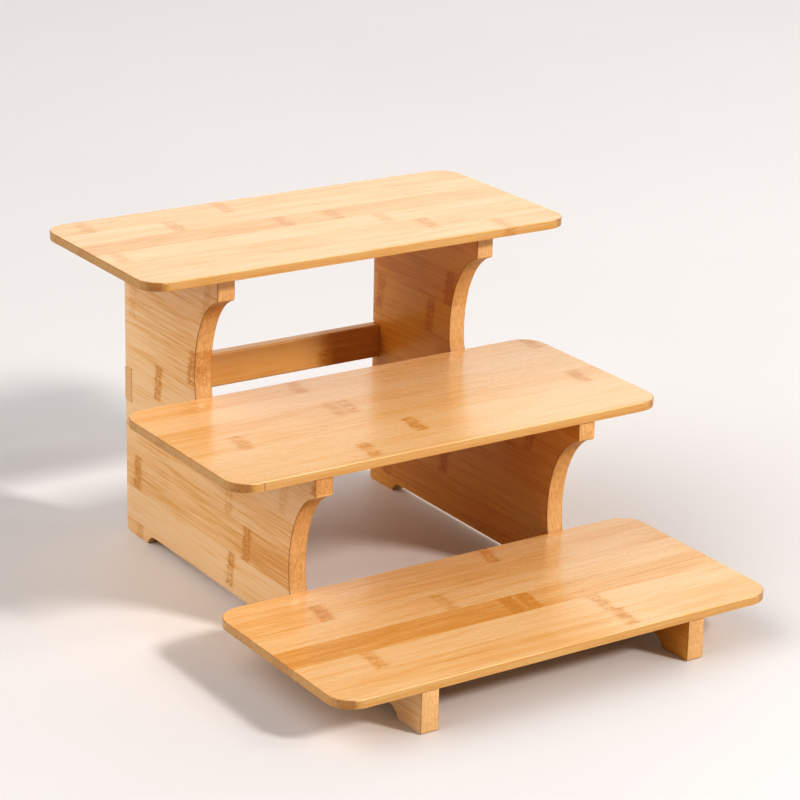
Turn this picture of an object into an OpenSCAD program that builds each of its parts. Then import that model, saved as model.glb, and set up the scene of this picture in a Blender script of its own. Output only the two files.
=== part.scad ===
// Three-tier stepped shelf riser in laminated bamboo.
// Row frame: origin on the floor under the middle of the overall footprint, +Z up,
// +X along the shelves to the right, the low front tier towards -Y. Units are mm.

/* [Shelves] */
// Length of each shelf along X
shelf_w = 400; // [300:5:520]
// Depth of each shelf along Y
shelf_d = 186; // [165:1:210]
// Thickness of each shelf board
shelf_t = 7.4; // [6.8:0.1:12]
// Radius of the four corners of a shelf seen from above
shelf_corner_r = 21; // [8:1:35]
// Roundover on the upper edge of a shelf
shelf_top_round = 0.8; // [0.6:0.1:3]
// Roundover on the lower edge of a shelf
shelf_low_round = 0.7; // [0.4:0.1:2]

/* [Tiers] */
// Height of the bottom shelf's upper face above the floor
tier_1_z = 41.4; // [36:0.2:60]
// Rise from the bottom shelf to the middle shelf
rise_2 = 114.4; // [105:0.2:150]
// Rise from the middle shelf to the top shelf
rise_3 = 119.4; // [105:0.2:150]
// Setback from the bottom shelf's front edge to the middle shelf's front edge
setback_2 = 148.8; // [140:0.2:160]
// Setback from the middle shelf's front edge to the top shelf's front edge
setback_3 = 134.8; // [125:0.2:150]

/* [Side boards] */
// Thickness of each side board
side_t = 15.7; // [12:0.1:20]
// Clear distance between the two side boards
side_gap = 231; // [180:1:300]
// How far a side board stops short of the top shelf's rear edge
rear_inset = 12.6; // [4:0.2:20]
// How far the upper tab stands back from the top shelf's front edge
tab_3_inset = 15.6; // [2:0.2:20]
// How far the middle tab stands back from the middle shelf's front edge
tab_2_inset = 1.3; // [0.5:0.1:10]
// How far the front foot stands back from the bottom shelf's front edge
foot_inset = 0.9; // [0.5:0.1:10]
// Height of the flat front of the tab under the top shelf
tab_3_h = 21.2; // [16:0.2:26]
// Height of the flat front of the tab under the middle shelf
tab_2_h = 15.4; // [12:0.2:22]
// Half depth of the oval front cut-out
oval_a = 47; // [44:1:50]
// Half height of the oval front cut-out
oval_b = 73; // [68:1:76]
// Deepest point of the oval behind the shelf edge it meets
oval_back = 2.3; // [1.4:0.1:3]

/* [Feet] */
// Height of the relief under a side board between its two feet
relief_h = 8.2; // [5:0.2:12]
// Length of the front foot where it meets the floor
front_foot_len = 31; // [24:1:45]
// Length of the rear foot where it meets the floor
rear_foot_len = 37.5; // [26:0.5:45]
// Radius at each end of the relief
relief_r = 12; // [12:0.5:16]
// Radius of the lower rear corner of a side board
heel_r = 4; // [2:0.5:8]

/* [Back rail] */
// Thickness of the back rail
rail_t = 11.4; // [9:0.1:14]
// Height of the back rail
rail_h = 30; // [26:0.5:36]
// How far the rail's rear face stands proud of the side boards
rail_proud = 0.6; // [0:0.1:1]
// Roundover on the long edges of the rail
rail_round = 2; // [1:0.1:3]

/* [Dowels and screws] */
// Dowel diameter
dowel_d = 6; // [5:0.5:8]
// Dowel length inside a side board
dowel_in_side = 14; // [10:0.5:20]
// Dowel length inside a shelf
dowel_in_shelf = 4; // [3:0.1:4.5]
// Dowels along each side of a shelf
dowels_per_side = 3; // [2:1:4]
// Screw head diameter
screw_head_d = 7.6; // [6.6:0.1:8]
// Screw shank diameter
screw_d = 3.8; // [3:0.1:4]
// Screw length overall
screw_l = 36; // [26:1:45]

/* [Hidden] */
$fn = 96;

depth_all = setback_2 + setback_3 + shelf_d;
tier_2_z = tier_1_z + rise_2;
tier_3_z = tier_2_z + rise_3;
seat_1 = tier_1_z - shelf_t;
seat_2 = tier_2_z - shelf_t;
seat_3 = tier_3_z - shelf_t;

front_1 = -depth_all / 2;
front_2 = front_1 + setback_2;
front_3 = front_2 + setback_3;
rear_1 = front_1 + shelf_d;
rear_2 = front_2 + shelf_d;
rear_3 = front_3 + shelf_d;

foot_y = front_1 + foot_inset;
tab_2_y = front_2 + tab_2_inset;
tab_3_y = front_3 + tab_3_inset;
back_y = rear_3 - rear_inset;

side_in_x = side_gap / 2;
side_mid_x = side_in_x + side_t / 2;
side_out_x = side_in_x + side_t;

rail_rear_y = back_y + rail_proud;
rail_front_y = rail_rear_y - rail_t;
rail_top_z = seat_2;
rail_low_z = rail_top_z - rail_h;
rail_screw_zs = [rail_low_z + rail_h * 0.27, rail_low_z + rail_h * 0.73];

cut = 1;
end_gap = 0.6;
dowel_chamfer = 0.8;
dowel_margin = 26;
screw_pilot_r = screw_d * 0.4;
screw_head_r = screw_head_d / 2;
screw_head_h = 2.4;
screw_slot_w = 0.9;
screw_slot_l = 4.2;
screw_slot_h = 1.3;
screw_tip_l = 4;

module box_between(low, high) {
    translate(low) cube(high - low);
}

// One quarter-turn edge profile: flat middle, rounded at the top and at the bottom.
module edge_profile(reach) {
    square([reach - shelf_top_round, shelf_t]);
    translate([0, shelf_low_round])
        square([reach, shelf_t - shelf_top_round - shelf_low_round]);
    translate([reach - shelf_top_round, shelf_t - shelf_top_round])
        circle(r = shelf_top_round);
    square([reach - shelf_low_round, shelf_low_round]);
    translate([reach - shelf_low_round, shelf_low_round])
        circle(r = shelf_low_round);
}

module shelf_corner() {
    rotate_extrude(angle = 90) edge_profile(shelf_corner_r);
}

module shelf_edge(length) {
    rotate([90, 0, 0])
        translate([0, 0, -length / 2])
            linear_extrude(height = length)
                edge_profile(shelf_corner_r);
}

module shelf_board() {
    half_x = shelf_w / 2 - shelf_corner_r;
    half_y = shelf_d / 2 - shelf_corner_r;
    box_between([-half_x, -half_y, 0], [half_x, half_y, shelf_t]);
    for (sx = [0, 1]) {
        rotate([0, 0, sx * 180]) {
            translate([half_x, 0, 0]) shelf_edge(2 * half_y);
            translate([half_x, half_y, 0]) shelf_corner();
            translate([half_x, -half_y, 0]) rotate([0, 0, -90]) shelf_corner();
            translate([0, half_y, 0]) rotate([0, 0, 90]) shelf_edge(2 * half_x);
        }
    }
}

// Dowel positions along Y on a seat that runs from one end to the other.
function dowel_ys(from_y, to_y) =
    [for (i = [0 : dowels_per_side - 1])
        from_y + dowel_margin
        + i * (to_y - from_y - 2 * dowel_margin) / (dowels_per_side - 1)];

ys_1 = dowel_ys(foot_y, rear_1);
ys_2 = dowel_ys(tab_2_y, rear_2);
ys_3 = dowel_ys(tab_3_y, back_y);

module dowel_holes(ys, seat, up, down) {
    for (y = ys) {
        for (s = [-1, 1]) {
            translate([s * side_mid_x, y, seat - down])
                cylinder(d = dowel_d, h = down + up);
        }
    }
}

module shelf(front_y, seat, ys) {
    difference() {
        translate([0, front_y + shelf_d / 2, seat]) shelf_board();
        dowel_holes(ys, seat, dowel_in_shelf + end_gap, cut);
    }
}

module shelf_bottom() {
    color([0.87, 0.66, 0.40]) shelf(front_1, seat_1, ys_1);
}

module shelf_middle() {
    color([0.89, 0.69, 0.43]) shelf(front_2, seat_2, ys_2);
}

module shelf_top() {
    color([0.92, 0.75, 0.52]) shelf(front_3, seat_3, ys_3);
}

// The oval space in front of a side board between two shelves, as a solid to cut away.
module oval_cut(edge_y, top_z, floor_z, tab_y) {
    centre_y = edge_y + oval_back - oval_a;
    rise = sqrt(1 - pow((tab_y - centre_y) / oval_a, 2)) * oval_b;
    centre_z = top_z - rise;
    intersection() {
        translate([-side_t, centre_y, centre_z])
            scale([1, oval_a, oval_b])
                rotate([0, 90, 0])
                    cylinder(r = 1, h = 3 * side_t);
        box_between([-side_t, centre_y - oval_a, floor_z],
                    [2 * side_t, centre_y + 2 * oval_a, centre_z + 2 * oval_b]);
    }
}

module relief_cut() {
    low_z = relief_h - relief_r;
    reach = sqrt(relief_r * relief_r - low_z * low_z);
    from_y = foot_y + front_foot_len + reach;
    to_y = back_y - rear_foot_len - reach;
    box_between([-cut, from_y, -cut], [side_t + cut, to_y, relief_h]);
    for (y = [from_y, to_y]) {
        translate([-cut, y, low_z])
            rotate([0, 90, 0])
                cylinder(r = relief_r, h = side_t + 2 * cut);
    }
}

// The side board in its own place along Y and Z, with its thickness from x = 0.
module side_blank() {
    difference() {
        union() {
            box_between([0, foot_y, 0], [side_t, back_y, seat_1]);
            box_between([0, tab_2_y, 0], [side_t, back_y, seat_2]);
            box_between([0, tab_3_y, 0], [side_t, back_y, seat_3]);
        }
        box_between([-cut, front_1 - cut, seat_1], [side_t + cut, rear_1, tier_1_z]);
        box_between([-cut, front_2 - cut, seat_2], [side_t + cut, rear_2, tier_2_z]);
        oval_cut(rear_1, seat_2 - tab_2_h, tier_1_z, tab_2_y);
        oval_cut(rear_2, seat_3 - tab_3_h, tier_2_z, tab_3_y);
        relief_cut();
        box_between([-cut, rail_front_y, rail_low_z],
                    [side_t + cut, back_y + cut, rail_top_z]);
        difference() {
            box_between([-cut, back_y - heel_r, -cut], [side_t + cut, back_y + cut, heel_r]);
            translate([-2 * cut, back_y - heel_r, heel_r])
                rotate([0, 90, 0])
                    cylinder(r = heel_r, h = side_t + 4 * cut);
        }
    }
}

module side_board(from_x) {
    difference() {
        translate([from_x, 0, 0]) side_blank();
        dowel_holes(ys_1, seat_1, cut, dowel_in_side + end_gap);
        dowel_holes(ys_2, seat_2, cut, dowel_in_side + end_gap);
        dowel_holes(ys_3, seat_3, cut, dowel_in_side + end_gap);
        for (z = rail_screw_zs) {
            for (s = [-1, 1]) {
                translate([s * side_mid_x, rail_rear_y - screw_l - end_gap, z])
                    rotate([-90, 0, 0])
                        cylinder(r = screw_pilot_r, h = screw_l - rail_t + end_gap + cut);
            }
        }
    }
}

module side_board_left() {
    color([0.85, 0.63, 0.37]) side_board(-side_out_x);
}

module side_board_right() {
    color([0.84, 0.62, 0.36]) side_board(side_in_x);
}

module rail_blank() {
    length = 2 * side_out_x;
    translate([-side_out_x, rail_front_y, rail_low_z])
        rotate([90, 0, 90])
            linear_extrude(height = length) {
                translate([0, rail_round]) square([rail_t, rail_h - 2 * rail_round]);
                translate([rail_round, 0]) square([rail_t - 2 * rail_round, rail_h]);
                for (y = [rail_round, rail_t - rail_round]) {
                    for (z = [rail_round, rail_h - rail_round]) {
                        translate([y, z]) circle(r = rail_round);
                    }
                }
            }
}

module back_rail() {
    color([0.82, 0.58, 0.33])
        difference() {
            rail_blank();
            for (z = rail_screw_zs) {
                for (s = [-1, 1]) {
                    translate([s * side_mid_x, rail_rear_y, z])
                        rotate([90, 0, 0]) {
                            translate([0, 0, -cut])
                                cylinder(d = screw_d, h = rail_t + 2 * cut);
                            cylinder(r1 = screw_head_r, r2 = screw_d / 2, h = screw_head_h);
                        }
                }
            }
        }
}

module dowel() {
    length = dowel_in_side + dowel_in_shelf;
    tip = dowel_d / 2 - dowel_chamfer;
    translate([0, 0, dowel_chamfer])
        cylinder(d = dowel_d, h = length - 2 * dowel_chamfer);
    cylinder(r1 = tip, r2 = dowel_d / 2, h = dowel_chamfer);
    translate([0, 0, length - dowel_chamfer])
        cylinder(r1 = dowel_d / 2, r2 = tip, h = dowel_chamfer);
}

module dowels(ys, seat) {
    for (y = ys) {
        for (s = [-1, 1]) {
            translate([s * side_mid_x, y, seat - dowel_in_side]) dowel();
        }
    }
}

module bottom_dowels() {
    color([0.80, 0.66, 0.45]) dowels(ys_1, seat_1);
}

module middle_dowels() {
    color([0.80, 0.66, 0.45]) dowels(ys_2, seat_2);
}

module top_dowels() {
    color([0.80, 0.66, 0.45]) dowels(ys_3, seat_3);
}

// A countersunk wood screw pointing along +Z from its head at the origin.
module wood_screw() {
    difference() {
        union() {
            cylinder(r1 = screw_head_r, r2 = screw_d / 2, h = screw_head_h);
            translate([0, 0, screw_head_h])
                cylinder(d = screw_d, h = rail_t - screw_head_h);
            translate([0, 0, rail_t])
                cylinder(r = screw_pilot_r, h = screw_l - rail_t - screw_tip_l);
            translate([0, 0, screw_l - screw_tip_l])
                cylinder(r1 = screw_pilot_r, r2 = 0.3, h = screw_tip_l);
        }
        for (a = [0, 90]) {
            rotate([0, 0, a])
                box_between([-screw_slot_l / 2, -screw_slot_w / 2, -cut],
                            [screw_slot_l / 2, screw_slot_w / 2, screw_slot_h]);
        }
    }
}

module rail_screws() {
    color([0.72, 0.72, 0.70])
        for (z = rail_screw_zs) {
            for (s = [-1, 1]) {
                translate([s * side_mid_x, rail_rear_y, z])
                    rotate([90, 0, 0]) wood_screw();
            }
        }
}

shelf_bottom();
shelf_middle();
shelf_top();
side_board_left();
side_board_right();
back_rail();
bottom_dowels();
middle_dowels();
top_dowels();
rail_screws();
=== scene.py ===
import math

import bmesh
import bpy
from mathutils import Matrix, Vector


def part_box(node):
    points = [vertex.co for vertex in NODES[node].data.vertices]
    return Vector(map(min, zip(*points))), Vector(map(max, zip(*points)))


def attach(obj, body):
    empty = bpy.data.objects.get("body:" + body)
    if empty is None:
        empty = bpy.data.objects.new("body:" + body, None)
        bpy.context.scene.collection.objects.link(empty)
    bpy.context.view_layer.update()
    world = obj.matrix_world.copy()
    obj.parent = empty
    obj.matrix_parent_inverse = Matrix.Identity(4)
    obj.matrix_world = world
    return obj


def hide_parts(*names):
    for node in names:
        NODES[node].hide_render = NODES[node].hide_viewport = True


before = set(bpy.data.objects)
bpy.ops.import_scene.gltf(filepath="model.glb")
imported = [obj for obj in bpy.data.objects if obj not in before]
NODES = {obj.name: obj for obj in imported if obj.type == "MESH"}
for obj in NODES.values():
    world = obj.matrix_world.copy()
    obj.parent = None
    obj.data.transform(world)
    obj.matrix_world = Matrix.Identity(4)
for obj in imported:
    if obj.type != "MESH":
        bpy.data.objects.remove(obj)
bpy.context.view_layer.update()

MM = 0.001

# ---------------------------------------------------------------- camera
# The viewing angle: from the front left, a little above the top shelf.
CAMERA_PLACE = Vector((-1.1127, -1.6787, 0.8750))
CAMERA_YAW = math.radians(33.52)
CAMERA_DOWN = math.radians(19.47)
CAMERA_ROLL = math.radians(1.30)
CAMERA_LENS = 120.3
CAMERA_SENSOR = 36.0
CAMERA_CLIP = (0.05, 60.0)


def make_camera():
    yaw, down, roll = CAMERA_YAW, CAMERA_DOWN, CAMERA_ROLL
    ahead = Vector((math.sin(yaw) * math.cos(down),
                    math.cos(yaw) * math.cos(down), -math.sin(down)))
    level = Vector((math.cos(yaw), -math.sin(yaw), 0.0))
    above = level.cross(ahead)
    right = level * math.cos(roll) + above * math.sin(roll)
    up = above * math.cos(roll) - level * math.sin(roll)
    data = bpy.data.cameras.new("camera")
    data.lens = CAMERA_LENS
    data.sensor_width = CAMERA_SENSOR
    data.sensor_fit = "HORIZONTAL"
    data.clip_start, data.clip_end = CAMERA_CLIP
    camera = bpy.data.objects.new("camera", data)
    rows = Matrix((right, up, -ahead)).transposed()
    camera.matrix_world = Matrix.Translation(CAMERA_PLACE) @ rows.to_4x4()
    bpy.context.scene.collection.objects.link(camera)
    bpy.context.scene.camera = camera


# ---------------------------------------------------------------- shader tools
class Shader:
    """Builds the nodes of one material or of the world."""

    def __init__(self, owner):
        owner.use_nodes = True
        self.tree = owner.node_tree
        self.tree.nodes.clear()

    def node(self, kind, inputs=None, **settings):
        made = self.tree.nodes.new(kind)
        for key, value in settings.items():
            setattr(made, key, value)
        for key, value in (inputs or {}).items():
            self.put(made.inputs[key], value)
        return made

    def put(self, socket, value):
        if isinstance(value, bpy.types.NodeSocket):
            self.tree.links.new(value, socket)
        else:
            socket.default_value = value

    def math(self, operation, a, b=0.0):
        return self.node("ShaderNodeMath", {0: a, 1: b}, operation=operation).outputs[0]

    def add(self, a, b):
        return self.math("ADD", a, b)

    def sub(self, a, b):
        return self.math("SUBTRACT", a, b)

    def mul(self, a, b):
        return self.math("MULTIPLY", a, b)

    def vector(self, x, y, z):
        return self.node("ShaderNodeCombineXYZ", {0: x, 1: y, 2: z}).outputs[0]

    def times(self, vector, factors):
        made = self.node("ShaderNodeVectorMath", {0: vector, 1: factors}, operation="MULTIPLY")
        return made.outputs[0]

    def noise(self, where, detail=2.0, roughness=0.5):
        made = self.node("ShaderNodeTexNoise", {"Vector": where, "Scale": 1.0,
                                                "Detail": detail, "Roughness": roughness})
        return made.outputs["Fac"]

    def span(self, value, low, high, to_low=0.0, to_high=1.0, smooth=False):
        """The value mapped from low..high to to_low..to_high, and held beyond them."""
        made = self.node("ShaderNodeMapRange", {0: value, 1: low, 2: high,
                                                3: to_low, 4: to_high})
        made.interpolation_type = "SMOOTHSTEP" if smooth else "LINEAR"
        return made.outputs[0]

    def blend(self, share, a, b):
        made = self.node("ShaderNodeMix", data_type="RGBA")
        self.put(made.inputs[0], share)
        self.put(made.inputs[6], a)
        self.put(made.inputs[7], b)
        return made.outputs[2]

    def bell(self, distance, width):
        """A smooth hump, 1 where distance is 0 and near 0 beyond twice the width."""
        ratio = self.math("DIVIDE", distance, width)
        return self.math("EXPONENT", self.mul(self.mul(ratio, ratio), -1.0))

    def output(self, shader):
        self.node("ShaderNodeOutputMaterial", {"Surface": shader})


def rgb(red, green, blue):
    return (red, green, blue, 1.0)


def direction(azimuth, elevation):
    """The way, in degrees from +X and above level, as a vector."""
    a, e = math.radians(azimuth), math.radians(elevation)
    return Vector((math.cos(a) * math.cos(e), math.sin(a) * math.cos(e), math.sin(e)))


# ---------------------------------------------------------------- bamboo
# Sizes in mm.
STRIP_PITCH = 30.4
GRAIN_LENGTH = 460.0  # about the longest board
KNUCKLE_LEAD = 100.0  # how far past a board's ends a knuckle may be placed
STAIN_FULL, STAIN_END = 3.6, 8.2
KNUCKLE_CORE = 5.6
RIDGE_OFFSET, RIDGE_WIDTH = 3.0, 1.1
WANDER = 8.0

PALE = rgb(0.770, 0.550, 0.325)
HONEY = rgb(0.740, 0.452, 0.185)
AMBER = rgb(0.610, 0.290, 0.058)
KNUCKLE = rgb(0.500, 0.195, 0.018)
END_LIGHT = rgb(0.690, 0.445, 0.210)
END_DARK = rgb(0.430, 0.195, 0.040)
ARRIS = rgb(0.34, 0.15, 0.045)

# Tints: shares of red, green and blue, and the faces they are for (see bamboo). Matched to
# one view of the riser, they are partly the wood's own darker colour, partly painted shade.
RIM_TINT_AND_SHADE = (0.76, 0.68, 0.44, 0)
INNER_TINT_AND_SHADE = (0.90, 0.66, 0.20, 1)
RAIL_TINT_AND_SHADE = (1.0, 0.88, 0.60, -1)


def bamboo(name, low, grain, across, through, strips, first=0.0, flip=(1, 1, 1),
           lift=0.0, ply=0.0, seed=0.0, rough=0.27, coat=0.35, fibre=1.0,
           end_stripe=(0.9, 5.0), splice=None, tint_and_shade=None):
    """Laminated bamboo. low is the corner that distances are counted from, and grain, across
    and through are the axes (0 to 2) along the fibres, across the strips and through the
    board. flip holds the way, 1 or -1, that distances run along each of the three. strips
    holds (tone, tone beyond the first knuckle, knuckle, knuckle, strength) for each strip,
    tones from 0 pale to 1 dark and knuckles in mm along the grain, with None where there is
    none, and first is where the first strip starts. lift makes the whole board paler, ply is
    the height of the glue line between two plies, and seed sets its pattern apart. rough and
    coat are the finish, and fibre the strength of the fibres. end_stripe is the size in mm,
    across and through, of the streaks in the end grain, splice the place of a joint that
    shows on the rims, and tint a colour that some faces are darkened by, partly their own
    darker wood and partly painted shade: its last number picks the rims (0), or the broad
    face at low (-1) or far from it (1)."""
    material = bpy.data.materials.new(name)
    s = Shader(material)
    place = s.node("ShaderNodeTexCoord").outputs["Object"]
    parts = s.node("ShaderNodeSeparateXYZ", {0: place}).outputs
    normal = s.node("ShaderNodeSeparateXYZ",
                    {0: s.node("ShaderNodeNewGeometry").outputs["Normal"]}).outputs

    def along(axis, way):
        return s.mul(s.sub(parts[axis], low[axis]), way / MM)

    g = along(grain, flip[0])
    a = along(across, flip[1])
    t = along(through, flip[2])

    # The tables of strips: one constant step of a colour ramp for each.
    count = len(strips)
    reach = 2 * KNUCKLE_LEAD + GRAIN_LENGTH
    row = s.math("DIVIDE", s.sub(a, first), STRIP_PITCH)
    index = s.math("FLOOR", row)
    inside = s.sub(row, index)
    which = s.math("DIVIDE", s.add(index, 0.5), count)

    def table(colours):
        ramp = s.node("ShaderNodeValToRGB", {0: which})
        ramp.color_ramp.interpolation = "CONSTANT"
        stops = ramp.color_ramp.elements
        for number, colour in enumerate(colours):
            stop = stops[number] if number < 2 else stops.new(number / count)
            stop.position = number / count
            stop.color = colour
        return ramp

    def spot(knuckle):
        return 0.0 if knuckle is None else (knuckle + KNUCKLE_LEAD) / reach

    near = table([(strip[0], spot(strip[2]), spot(strip[3]), strip[4]) for strip in strips])
    far = table([(strip[1], 0.0, 0.0, 1.0) for strip in strips])
    cell = s.node("ShaderNodeSeparateColor", {0: near.outputs["Color"]}).outputs
    beyond = s.node("ShaderNodeSeparateColor", {0: far.outputs["Color"]}).outputs[0]
    strength = near.outputs["Alpha"]

    # Knuckles: a stained band with two broken ridges and short dashes in it.
    def patch(length, wide, deep, shift, detail=1.0):
        return s.noise(s.vector(s.add(s.mul(g, 1.0 / length), shift), s.mul(a, 1.0 / wide),
                                s.add(s.mul(t, 1.0 / deep), seed)), detail)

    wander = s.mul(s.sub(patch(90.0, 5.0, 5.0, 0.0, 2.0), 0.5), WANDER)
    lean = s.mul(s.sub(inside, 0.5), 4.0)
    aways, halos, cores, ridges = [], [], [], []
    for stored in (cell[1], cell[2]):
        centre = s.sub(s.mul(stored, reach), KNUCKLE_LEAD)
        away = s.add(s.add(s.sub(g, centre), wander), lean)
        distance = s.math("ABSOLUTE", away)
        aways.append(away)
        halos.append(s.span(distance, STAIN_FULL, STAIN_END, 1.0, 0.0, smooth=True))
        cores.append(s.bell(away, KNUCKLE_CORE))
        ridges.append(s.bell(s.sub(distance, RIDGE_OFFSET), RIDGE_WIDTH))

    def either(pair):
        return s.mul(s.math("MAXIMUM", pair[0], pair[1]), strength)

    halo, core, ridge = either(halos), either(cores), either(ridges)
    patchy = s.span(patch(14.0, 7.0, 7.0, 3.0), 0.28, 0.58, 0.45, 1.0)
    dash = s.span(patch(3.4, 1.15, 1.15, 7.0), 0.46, 0.58)
    gap = s.span(patch(2.4, 1.4, 1.4, 11.0), 0.40, 0.62, 1.0, 0.25)
    speck = s.span(patch(1.7, 1.0, 1.0, 19.0), 0.60, 0.70)
    mark = s.mul(s.math("MAXIMUM", s.mul(core, dash), s.mul(ridge, gap)), patchy)
    # The fibres bend a little where they pass a knuckle.
    a_bent = s.add(a, s.mul(s.mul(halo, wander), 0.4))

    # Fibres: long streaks at three widths, set apart from strip to strip.
    def streak(length, width, detail, shift):
        return s.noise(s.vector(s.add(s.mul(g, 1.0 / length), s.mul(index, 3.7)),
                                s.add(s.mul(a_bent, 1.0 / width), shift),
                                s.add(s.mul(t, 1.0 / width), seed)), detail, 0.6)

    fine = streak(40.0, 0.8, 1.5, 0.0)
    middle = streak(80.0, 2.2, 2.0, 31.0)
    wide = streak(150.0, 8.0, 2.0, 57.0)
    cloud = s.noise(s.vector(s.mul(g, 0.011), s.mul(a, 0.02),
                             s.add(s.mul(index, 5.3), seed)), 2.0)

    past = s.mul(s.span(aways[0], -10.0, 10.0, smooth=True),
                 s.math("GREATER_THAN", cell[1], 0.01))
    tone = s.add(cell[0], s.mul(past, s.sub(beyond, cell[0])))
    tone = s.add(tone, s.mul(s.sub(cloud, 0.5), 0.45))
    tone = s.add(tone, s.mul(s.sub(wide, 0.5), 0.60 * fibre))
    tone = s.add(tone, s.mul(s.sub(middle, 0.5), 0.95 * fibre))
    tone = s.add(tone, s.mul(s.sub(fine, 0.5), 1.05 * fibre))
    stain = s.mul(s.mul(halo, patchy), s.span(dash, 0.0, 1.0, 0.50, 0.95))
    tone = s.add(tone, stain)
    if ply:
        # The lower ply of the board is a shade darker than the upper one.
        tone = s.add(tone, s.span(t, ply - 0.25, ply + 0.25, 0.20, 0.0))
    tone = s.sub(tone, lift)
    shade = s.node("ShaderNodeValToRGB", {0: tone})
    shade.color_ramp.interpolation = "B_SPLINE"
    steps = shade.color_ramp.elements
    steps[0].position, steps[0].color = 0.0, PALE
    steps[1].position, steps[1].color = 1.0, AMBER
    steps.new(0.5).color = HONEY
    colour = shade.outputs["Color"]
    colour = s.blend(s.mul(mark, 0.92), colour, KNUCKLE)
    colour = s.blend(s.mul(s.mul(s.mul(core, speck), patchy), 0.45), colour, PALE)

    # Some faces are darker and redder: partly their own wood, partly painted shade.
    flat = s.math("ABSOLUTE", normal[through])
    if tint_and_shade is not None:
        if tint_and_shade[3]:
            side = s.span(s.mul(normal[through], flip[2] * tint_and_shade[3]), 0.3, 0.8)
        else:
            side = s.span(flat, 0.2, 0.8, 1.0, 0.0)
        share = s.vector(*(s.add(1.0, s.mul(side, part - 1.0)) for part in tint_and_shade[:3]))

    def tinted_and_shaded(before_tint_and_shade):
        return before_tint_and_shade if tint_and_shade is None else s.times(before_tint_and_shade, share)

    colour = tinted_and_shaded(colour)

    # Glue lines, hair thin, stronger in some places than in others.
    rim = s.math("MINIMUM", inside, s.sub(1.0, inside))
    line = s.span(rim, 0.0, 0.016, 1.0, 0.0)
    line = s.mul(line, s.span(wide, 0.42, 0.62, 0.05, 0.42))
    colour = s.blend(line, colour, AMBER)

    # End grain on every face that cuts the fibres.
    facing = s.math("ABSOLUTE", normal[grain])
    cut = s.span(facing, 0.08, 0.50, 0.0, 1.0, smooth=True)
    pores = s.node("ShaderNodeTexVoronoi",
                   {"Vector": s.vector(s.mul(g, 0.12), s.mul(a, 0.95), s.mul(t, 0.95)),
                    "Scale": 1.0, "Randomness": 1.0}).outputs["Distance"]
    pores = s.span(pores, 0.18, 0.50, 1.0, 0.0)
    stripe = s.noise(s.vector(s.mul(g, 0.25), s.mul(a, 1.0 / end_stripe[0]),
                              s.add(s.mul(t, 1.0 / end_stripe[1]), seed)), 2.0, 0.65)
    stripe = s.span(stripe, 0.38, 0.60)
    # Slanted cuts, as at the rounded corners, are darker: partly longer fibre bundles, partly
    # painted shade.
    slant_and_shade = s.mul(s.span(facing, 0.10, 0.45, smooth=True), s.span(facing, 0.72, 0.97, 1.0, 0.0))
    end_grain_and_shade = s.add(s.mul(pores, 0.26), s.mul(stripe, 0.42))
    end_grain_and_shade = s.add(end_grain_and_shade, s.mul(s.sub(tone, 0.45), 0.35))
    end_grain_and_shade = s.add(end_grain_and_shade, s.mul(slant_and_shade, 0.55))
    end = s.blend(end_grain_and_shade, END_LIGHT, END_DARK)
    end = s.blend(s.mul(mark, 0.6), end, KNUCKLE)
    colour = s.blend(s.mul(cut, 0.88), colour, tinted_and_shaded(end))
    if splice is not None:
        joint = s.math("ABSOLUTE", s.sub(g, splice))
        joint = s.mul(s.span(joint, 0.30, 0.75, 0.85, 0.0), s.span(flat, 0.2, 0.7, 1.0, 0.0))
        colour = s.blend(joint, colour, ARRIS)

    # The eased arris between a broad face and a cut face is darker, in patches.
    arris = s.span(s.mul(s.mul(flat, facing), 2.0), 0.25, 0.80, 0.0, 1.0)
    arris = s.mul(arris, s.span(patch(9.0, 14.0, 14.0, 23.0, 2.0), 0.36, 0.62, 0.25, 0.70))
    colour = s.blend(arris, colour, ARRIS)

    gloss = s.add(rough, s.mul(s.sub(middle, 0.5), 0.12))
    gloss = s.add(gloss, s.mul(cut, 0.18))
    gloss = s.add(gloss, s.mul(mark, 0.12))
    gloss = s.add(gloss, s.mul(s.mul(flat, s.sub(1.0, flat)), 0.8))

    relief = s.add(s.mul(fine, 0.5), s.mul(middle, 0.5))
    relief = s.sub(relief, s.mul(line, 0.7))
    relief = s.sub(relief, s.mul(mark, 0.8))
    relief = s.sub(relief, s.mul(s.mul(cut, pores), 0.9))
    bump = s.node("ShaderNodeBump", {"Strength": 0.35, "Distance": 0.05 * MM,
                                     "Height": relief}).outputs[0]
    shader = s.node("ShaderNodeBsdfPrincipled",
                    {"Base Color": colour, "Roughness": gloss, "Normal": bump,
                     "Coat Weight": coat, "Coat Roughness": 0.16, "Coat IOR": 1.5})
    s.output(shader.outputs[0])
    return material


# ---------------------------------------------------------------- steel
def zinc_steel(name):
    material = bpy.data.materials.new(name)
    s = Shader(material)
    place = s.node("ShaderNodeTexCoord").outputs["Object"]
    cloud = s.noise(s.times(place, (900.0,) * 3), 3.0)
    grit = s.noise(s.times(place, (4200.0,) * 3), 2.0)
    colour = s.blend(cloud, rgb(0.50, 0.50, 0.47), rgb(0.74, 0.73, 0.68))
    rough = s.span(cloud, 0.2, 0.8, 0.28, 0.48)
    bump = s.node("ShaderNodeBump", {"Strength": 0.3, "Distance": 0.03 * MM,
                                     "Height": grit}).outputs[0]
    shader = s.node("ShaderNodeBsdfPrincipled",
                    {"Base Color": colour, "Roughness": rough, "Normal": bump,
                     "Metallic": 1.0})
    s.output(shader.outputs[0])
    return material


# ---------------------------------------------------------------- eased boards
EASE = 0.8 * MM
EASE_STEPS = 3
CORNER_ROUND = 1.6 * MM
CORNER_STEPS = 5
SHARP_EDGE = math.radians(34)
SAME = 0.02 * MM


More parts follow.
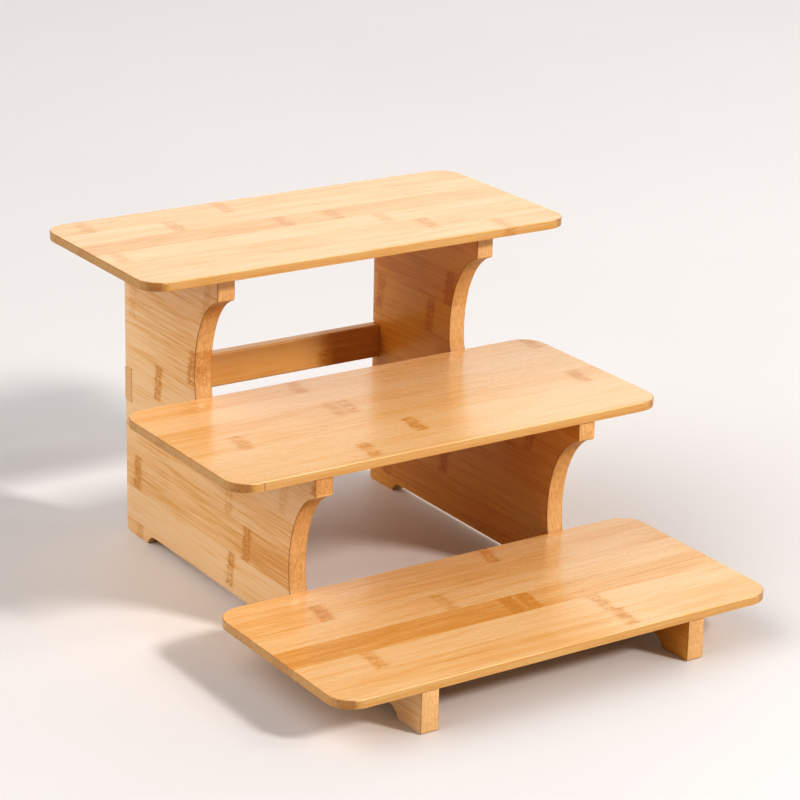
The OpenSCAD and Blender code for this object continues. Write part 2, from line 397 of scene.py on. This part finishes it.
def outline_of(node, plane_x):
    """The ordered outline, as (y, z) points, of a board's broad face at plane_x."""
    bm = bmesh.new()
    bm.from_mesh(NODES[node].data)
    bmesh.ops.remove_doubles(bm, verts=bm.verts, dist=1e-6)
    nexts = {}
    for face in bm.faces:
        if all(abs(v.co.x - plane_x) < SAME for v in face.verts):
            for loop in face.loops:
                twin = [f for f in loop.edge.link_faces if f is not face]
                if twin and all(abs(v.co.x - plane_x) < SAME for v in twin[0].verts):
                    continue
                start, end = loop.vert, loop.link_loop_next.vert
                nexts[start.index] = (end.index, (start.co.y, start.co.z))
    loops = []
    left = set(nexts)
    while left:
        here = first = min(left)
        points = []
        while here in left:
            left.discard(here)
            here, point = nexts[here]
            points.append(Vector(point))
        loops.append(points)
    bm.free()
    loop = max(loops, key=len)
    if area_of(loop) < 0:
        loop.reverse()
    return loop


def area_of(points):
    return 0.5 * sum(p.x * q.y - q.x * p.y for p, q in zip(points, points[1:] + points[:1]))


def turn_at(points, i):
    """How far, in degrees, the outline turns at point i."""
    p = points[i % len(points)]
    u, v = p - points[(i - 1) % len(points)], points[(i + 1) % len(points)] - p
    return math.degrees(u.angle(v)) if u.length and v.length else 0.0


def tidy_outline(points):
    """The outline without straight-run points and without steps too small to ease."""
    kept = [p for i, p in enumerate(points)
            if turn_at(points, i) > 0.05 and (p - points[i - 1]).length > 0.05 * MM]
    return [p for i, p in enumerate(kept)
            if not ((kept[(i + 1) % len(kept)] - p).length < 1.0 * MM
                    and turn_at(kept, i) > 30 and turn_at(kept, i + 1) > 30)]


def with_round_corners(points, radius):
    """The outline with each sharp outward corner rounded."""
    result = []
    for i, p in enumerate(points):
        before, after = points[i - 1], points[(i + 1) % len(points)]
        u, v = (before - p), (after - p)
        lu, lv = u.length, v.length
        u, v = u / lu, v / lv
        turn = -(u.x * v.y - u.y * v.x)
        angle = math.acos(max(-1.0, min(1.0, u.dot(v))))
        if turn <= 0 or angle > math.radians(150):
            result.append(p)
            continue
        r = min(radius, 0.45 * min(lu, lv) * math.tan(angle / 2))
        reach = r / math.tan(angle / 2)
        centre = p + (u + v).normalized() * (r / math.sin(angle / 2))
        start, end = p + u * reach, p + v * reach
        for k in range(CORNER_STEPS + 1):
            mix = start.lerp(end, k / CORNER_STEPS)
            result.append(centre + (mix - centre).normalized() * r)
    return result


def inset(points, distance):
    """The outline moved inwards by a distance."""
    result = []
    for i, p in enumerate(points):
        u = (p - points[i - 1]).normalized()
        v = (points[(i + 1) % len(points)] - p).normalized()
        inward = Vector((-(u.y + v.y), u.x + v.x)).normalized()
        lean = max(0.35, inward.dot(Vector((-u.y, u.x))))
        result.append(p + inward * (distance / lean))
    return result


def eased_board(name, node, material):
    """A board cut to the CAD node's outline, with every arris eased as if by sandpaper."""
    low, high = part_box(node)
    outline = with_round_corners(tidy_outline(outline_of(node, low.x)), CORNER_ROUND)
    rings = []
    for k in range(EASE_STEPS + 1):
        turn = 0.5 * math.pi * k / EASE_STEPS
        rings.append((low.x + EASE * (1 - math.sin(turn)), EASE * (1 - math.cos(turn))))
    rings.reverse()
    rings += [(low.x + high.x - x, d) for x, d in reversed(rings)]
    bm = bmesh.new()
    loops = [[bm.verts.new((x, p.x, p.y)) for p in inset(outline, d)] for x, d in rings]
    count = len(outline)
    for one, two in zip(loops, loops[1:]):
        for i in range(count):
            j = (i + 1) % count
            bm.faces.new((one[i], one[j], two[j], two[i]))
    caps = [bm.faces.new(list(reversed(loops[0]))), bm.faces.new(loops[-1])]
    bm.normal_update()
    bmesh.ops.triangulate(bm, faces=caps, quad_method="BEAUTY", ngon_method="EAR_CLIP")
    bmesh.ops.recalc_face_normals(bm, faces=bm.faces)
    for face in bm.faces:
        face.smooth = True
    for edge in bm.edges:
        if len(edge.link_faces) == 2:
            edge.smooth = edge.calc_face_angle() < SHARP_EDGE
    mesh = bpy.data.meshes.new(name)
    bm.to_mesh(mesh)
    bm.free()
    mesh.materials.append(material)
    board = bpy.data.objects.new(name, mesh)
    bpy.context.scene.collection.objects.link(board)
    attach(board, "root")
    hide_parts(node)


# ---------------------------------------------------------------- the boards' looks
SHELF_PLY = 3.4
SIDE_FIRST = -18.9
SIDE_STRIPE = (7.0, 0.9)


def paint(node, material):
    """Gives a CAD node a material and leaves its mesh as it is."""
    mesh = NODES[node].data
    mesh.materials.clear()
    mesh.materials.append(material)


def dress_shelf(node, strips, lift, seed, first, splice=None):
    low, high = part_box(node)
    corner = (low.x, high.y, low.z)
    material = bamboo(node + "_bamboo", corner, 0, 1, 2, strips, first=first,
                      flip=(1, -1, 1), lift=lift, ply=SHELF_PLY, seed=seed, coat=0.55,
                      fibre=1.15, splice=splice, tint_and_shade=RIM_TINT_AND_SHADE)
    paint(node, material)


def dress_boards():
    plain = (0.40, 0.40, None, None, 0.0)
    dress_shelf("shelf_bottom", [
        (0.42, 0.40, 246, None, 0.57), (0.62, 0.42, 71, None, 0.74),
        (0.36, 0.30, 164, None, 0.37), (0.92, 0.62, 222, 206, 0.61),
        (0.26, 0.24, 269, 61, 0.57), (0.46, 0.48, 269, None, 0.57), plain],
        0.09, 3.1, -2.6)
    dress_shelf("shelf_middle", [
        (0.48, 0.42, 154, 389, 0.61), (0.22, 0.22, None, None, 0.00),
        (0.52, 0.42, 154, 166, 0.49), (0.40, 0.46, 50, 373, 0.57),
        (0.20, 0.20, 190, None, 0.82), (0.24, 0.28, 128, None, 0.70), plain],
        0.13, 17.4, -1.4, splice=24.0)
    dress_shelf("shelf_top", [
        (0.38, 0.34, 30, 160, 0.38), (0.16, 0.20, 96, None, 0.52),
        (0.56, 0.42, 182, 230, 0.43), (0.14, 0.16, 15, 261, 0.35),
        (0.28, 0.24, 285, None, 0.52), (0.16, 0.20, 339, None, 0.41), plain],
        -0.16, 29.8, 4.4)

    low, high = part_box("side_board_left")
    strips = [(0.40, 0.40, None, None, 0.0), (0.50, 0.58, 140, None, 0.3),
              (0.34, 0.46, 15, None, 0.25), (0.48, 0.56, 116, None, 1.0),
              (0.36, 0.46, 58, 310, 1.0), (0.28, 0.36, 260, None, 0.35),
              (0.54, 0.60, 176, None, 0.35), (0.66, 0.84, 204, 20, 1.0),
              (0.24, 0.34, 178, 350, 0.9), (0.56, 0.34, 22, 300, 0.4)]
    # The left board is paler as a whole: painted light for its lit outer face.
    left = bamboo("side_board_left_bamboo", (low.x, high.y, high.z), 1, 2, 0, strips,
                  first=SIDE_FIRST, flip=(-1, -1, 1), lift=0.16, seed=41.3, rough=0.33, coat=0.12,
                  fibre=1.6, end_stripe=SIDE_STRIPE, tint_and_shade=INNER_TINT_AND_SHADE)
    eased_board("side_board_left_eased", "side_board_left", left)

    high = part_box("side_board_right")[1]
    strips = [(0.34, 0.46, 95, None, 0.6), (0.44, 0.30, 30, None, 0.5),
              (0.56, 0.60, 118, None, 0.8), (0.40, 0.34, 12, 90, 0.7),
              (0.50, 0.56, 150, None, 0.7), (0.32, 0.42, 240, None, 0.7),
              (0.66, 0.54, 90, 320, 0.8), (0.38, 0.36, 118, None, 0.9),
              (0.54, 0.60, 30, 280, 0.7), (0.34, 0.44, 170, None, 0.6)]
    right = bamboo("side_board_right_bamboo", (high.x, high.y, high.z), 1, 2, 0, strips,
                   first=SIDE_FIRST, flip=(-1, -1, -1), seed=53.9, rough=0.33, coat=0.12,
                   fibre=1.5, end_stripe=SIDE_STRIPE, tint_and_shade=INNER_TINT_AND_SHADE)
    eased_board("side_board_right_eased", "side_board_right", right)

    low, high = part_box("back_rail")
    # The rail is pale up to its knuckle 190 mm from the left end and dark beyond it: painted
    # shadow of the right side board.
    rail = bamboo("back_rail_bamboo", (low.x, low.y, high.z), 0, 2, 1,
                  [(0.10, 0.92, 190, None, 0.3), (0.5, 0.8, None, None, 0.0)],
                  first=-0.2, flip=(1, -1, 1), seed=67.2, rough=0.33, coat=0.12,
                  fibre=1.3, tint_and_shade=RAIL_TINT_AND_SHADE)
    paint("back_rail", rail)

    for node, seed in (("bottom_dowels", 71.0), ("middle_dowels", 83.0), ("top_dowels", 97.0)):
        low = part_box(node)[0]
        material = bamboo(node + "_wood", (low.x, low.y, low.z), 2, 0, 1,
                          [(0.3, 0.3, None, None, 0.0)] * 10, seed=seed, rough=0.5, coat=0.0)
        paint(node, material)
    paint("rail_screws", zinc_steel("zinc_plated_steel"))


# ---------------------------------------------------------------- floor and light
FLOOR_HALF = 9.0
SOFTBOX_DISTANCE = 8.0
SOFTBOX_COLOUR = (1.0, 0.98, 0.95)
ROOM_COLOUR = rgb(1.0, 0.99, 0.975)
ROOM_DIM = 0.11
# Each glow of the room: azimuth, elevation, how narrow it is and how strong. The first is
# the window, the others the pale walls.
ROOM_GLOWS = ((162.0, 40.0, 5.0, 3.0), (60.0, 12.0, 5.0, 1.08), (0.0, 8.0, 6.0, 0.7),
              (300.0, 10.0, 6.0, 0.5), (205.0, 12.0, 6.0, 0.4))
VIEW_GAMMA = 0.74  # the contrast of a finished product photograph


def make_floor():
    size = FLOOR_HALF
    mesh = bpy.data.meshes.new("floor")
    corners = [(-size, -size, 0), (size, -size, 0), (size, size, 0), (-size, size, 0)]
    mesh.from_pydata(corners, [], [(0, 1, 2, 3)])
    material = bpy.data.materials.new("pale_floor")
    s = Shader(material)
    place = s.node("ShaderNodeTexCoord").outputs["Object"]
    cloud = s.noise(s.times(place, (2.2,) * 3), 3.0)
    colour = s.blend(cloud, rgb(0.695, 0.675, 0.677), rgb(0.725, 0.705, 0.707))
    shader = s.node("ShaderNodeBsdfPrincipled", {"Base Color": colour, "Roughness": 0.55})
    s.output(shader.outputs[0])
    mesh.materials.append(material)
    floor = bpy.data.objects.new("floor", mesh)
    bpy.context.scene.collection.objects.link(floor)


def make_softbox(name, azimuth, elevation, size, irradiance):
    """A square soft light that looks at the middle of the riser."""
    way = direction(azimuth, elevation)
    data = bpy.data.lights.new(name, "AREA")
    data.shape = "SQUARE"
    data.size = size
    data.energy = irradiance * math.pi * SOFTBOX_DISTANCE ** 2
    data.color = SOFTBOX_COLOUR
    light = bpy.data.objects.new(name, data)
    light.location = Vector((0, 0, 0.1)) + way * SOFTBOX_DISTANCE
    light.rotation_mode = "QUATERNION"
    light.rotation_quaternion = (-way).to_track_quat("-Z", "Y")
    bpy.context.scene.collection.objects.link(light)


def make_world():
    """A plain room: a wide window high on the left, a pale wall behind, dim elsewhere."""
    world = bpy.data.worlds.new("room")
    bpy.context.scene.world = world
    s = Shader(world)
    way = s.node("ShaderNodeTexCoord").outputs["Generated"]

    strength = ROOM_DIM
    for azimuth, elevation, power, amount in ROOM_GLOWS:
        dot = s.node("ShaderNodeVectorMath", {0: way, 1: direction(azimuth, elevation)},
                     operation="DOT_PRODUCT")
        near = s.math("MAXIMUM", dot.outputs["Value"], 0.0)
        strength = s.add(strength, s.mul(s.math("POWER", near, power), amount))
    background = s.node("ShaderNodeBackground", {"Color": ROOM_COLOUR, "Strength": strength})
    s.node("ShaderNodeOutputWorld", {"Surface": background.outputs[0]})


make_camera()
dress_boards()
make_floor()
make_softbox("key_softbox", -38.0, 35.0, 1.60, 0.45)
make_softbox("front_softbox", -62.0, 34.5, 1.12, 2.60)
make_world()
view = bpy.context.scene.view_settings
view.view_transform = "Standard"
view.gamma = VIEW_GAMMA
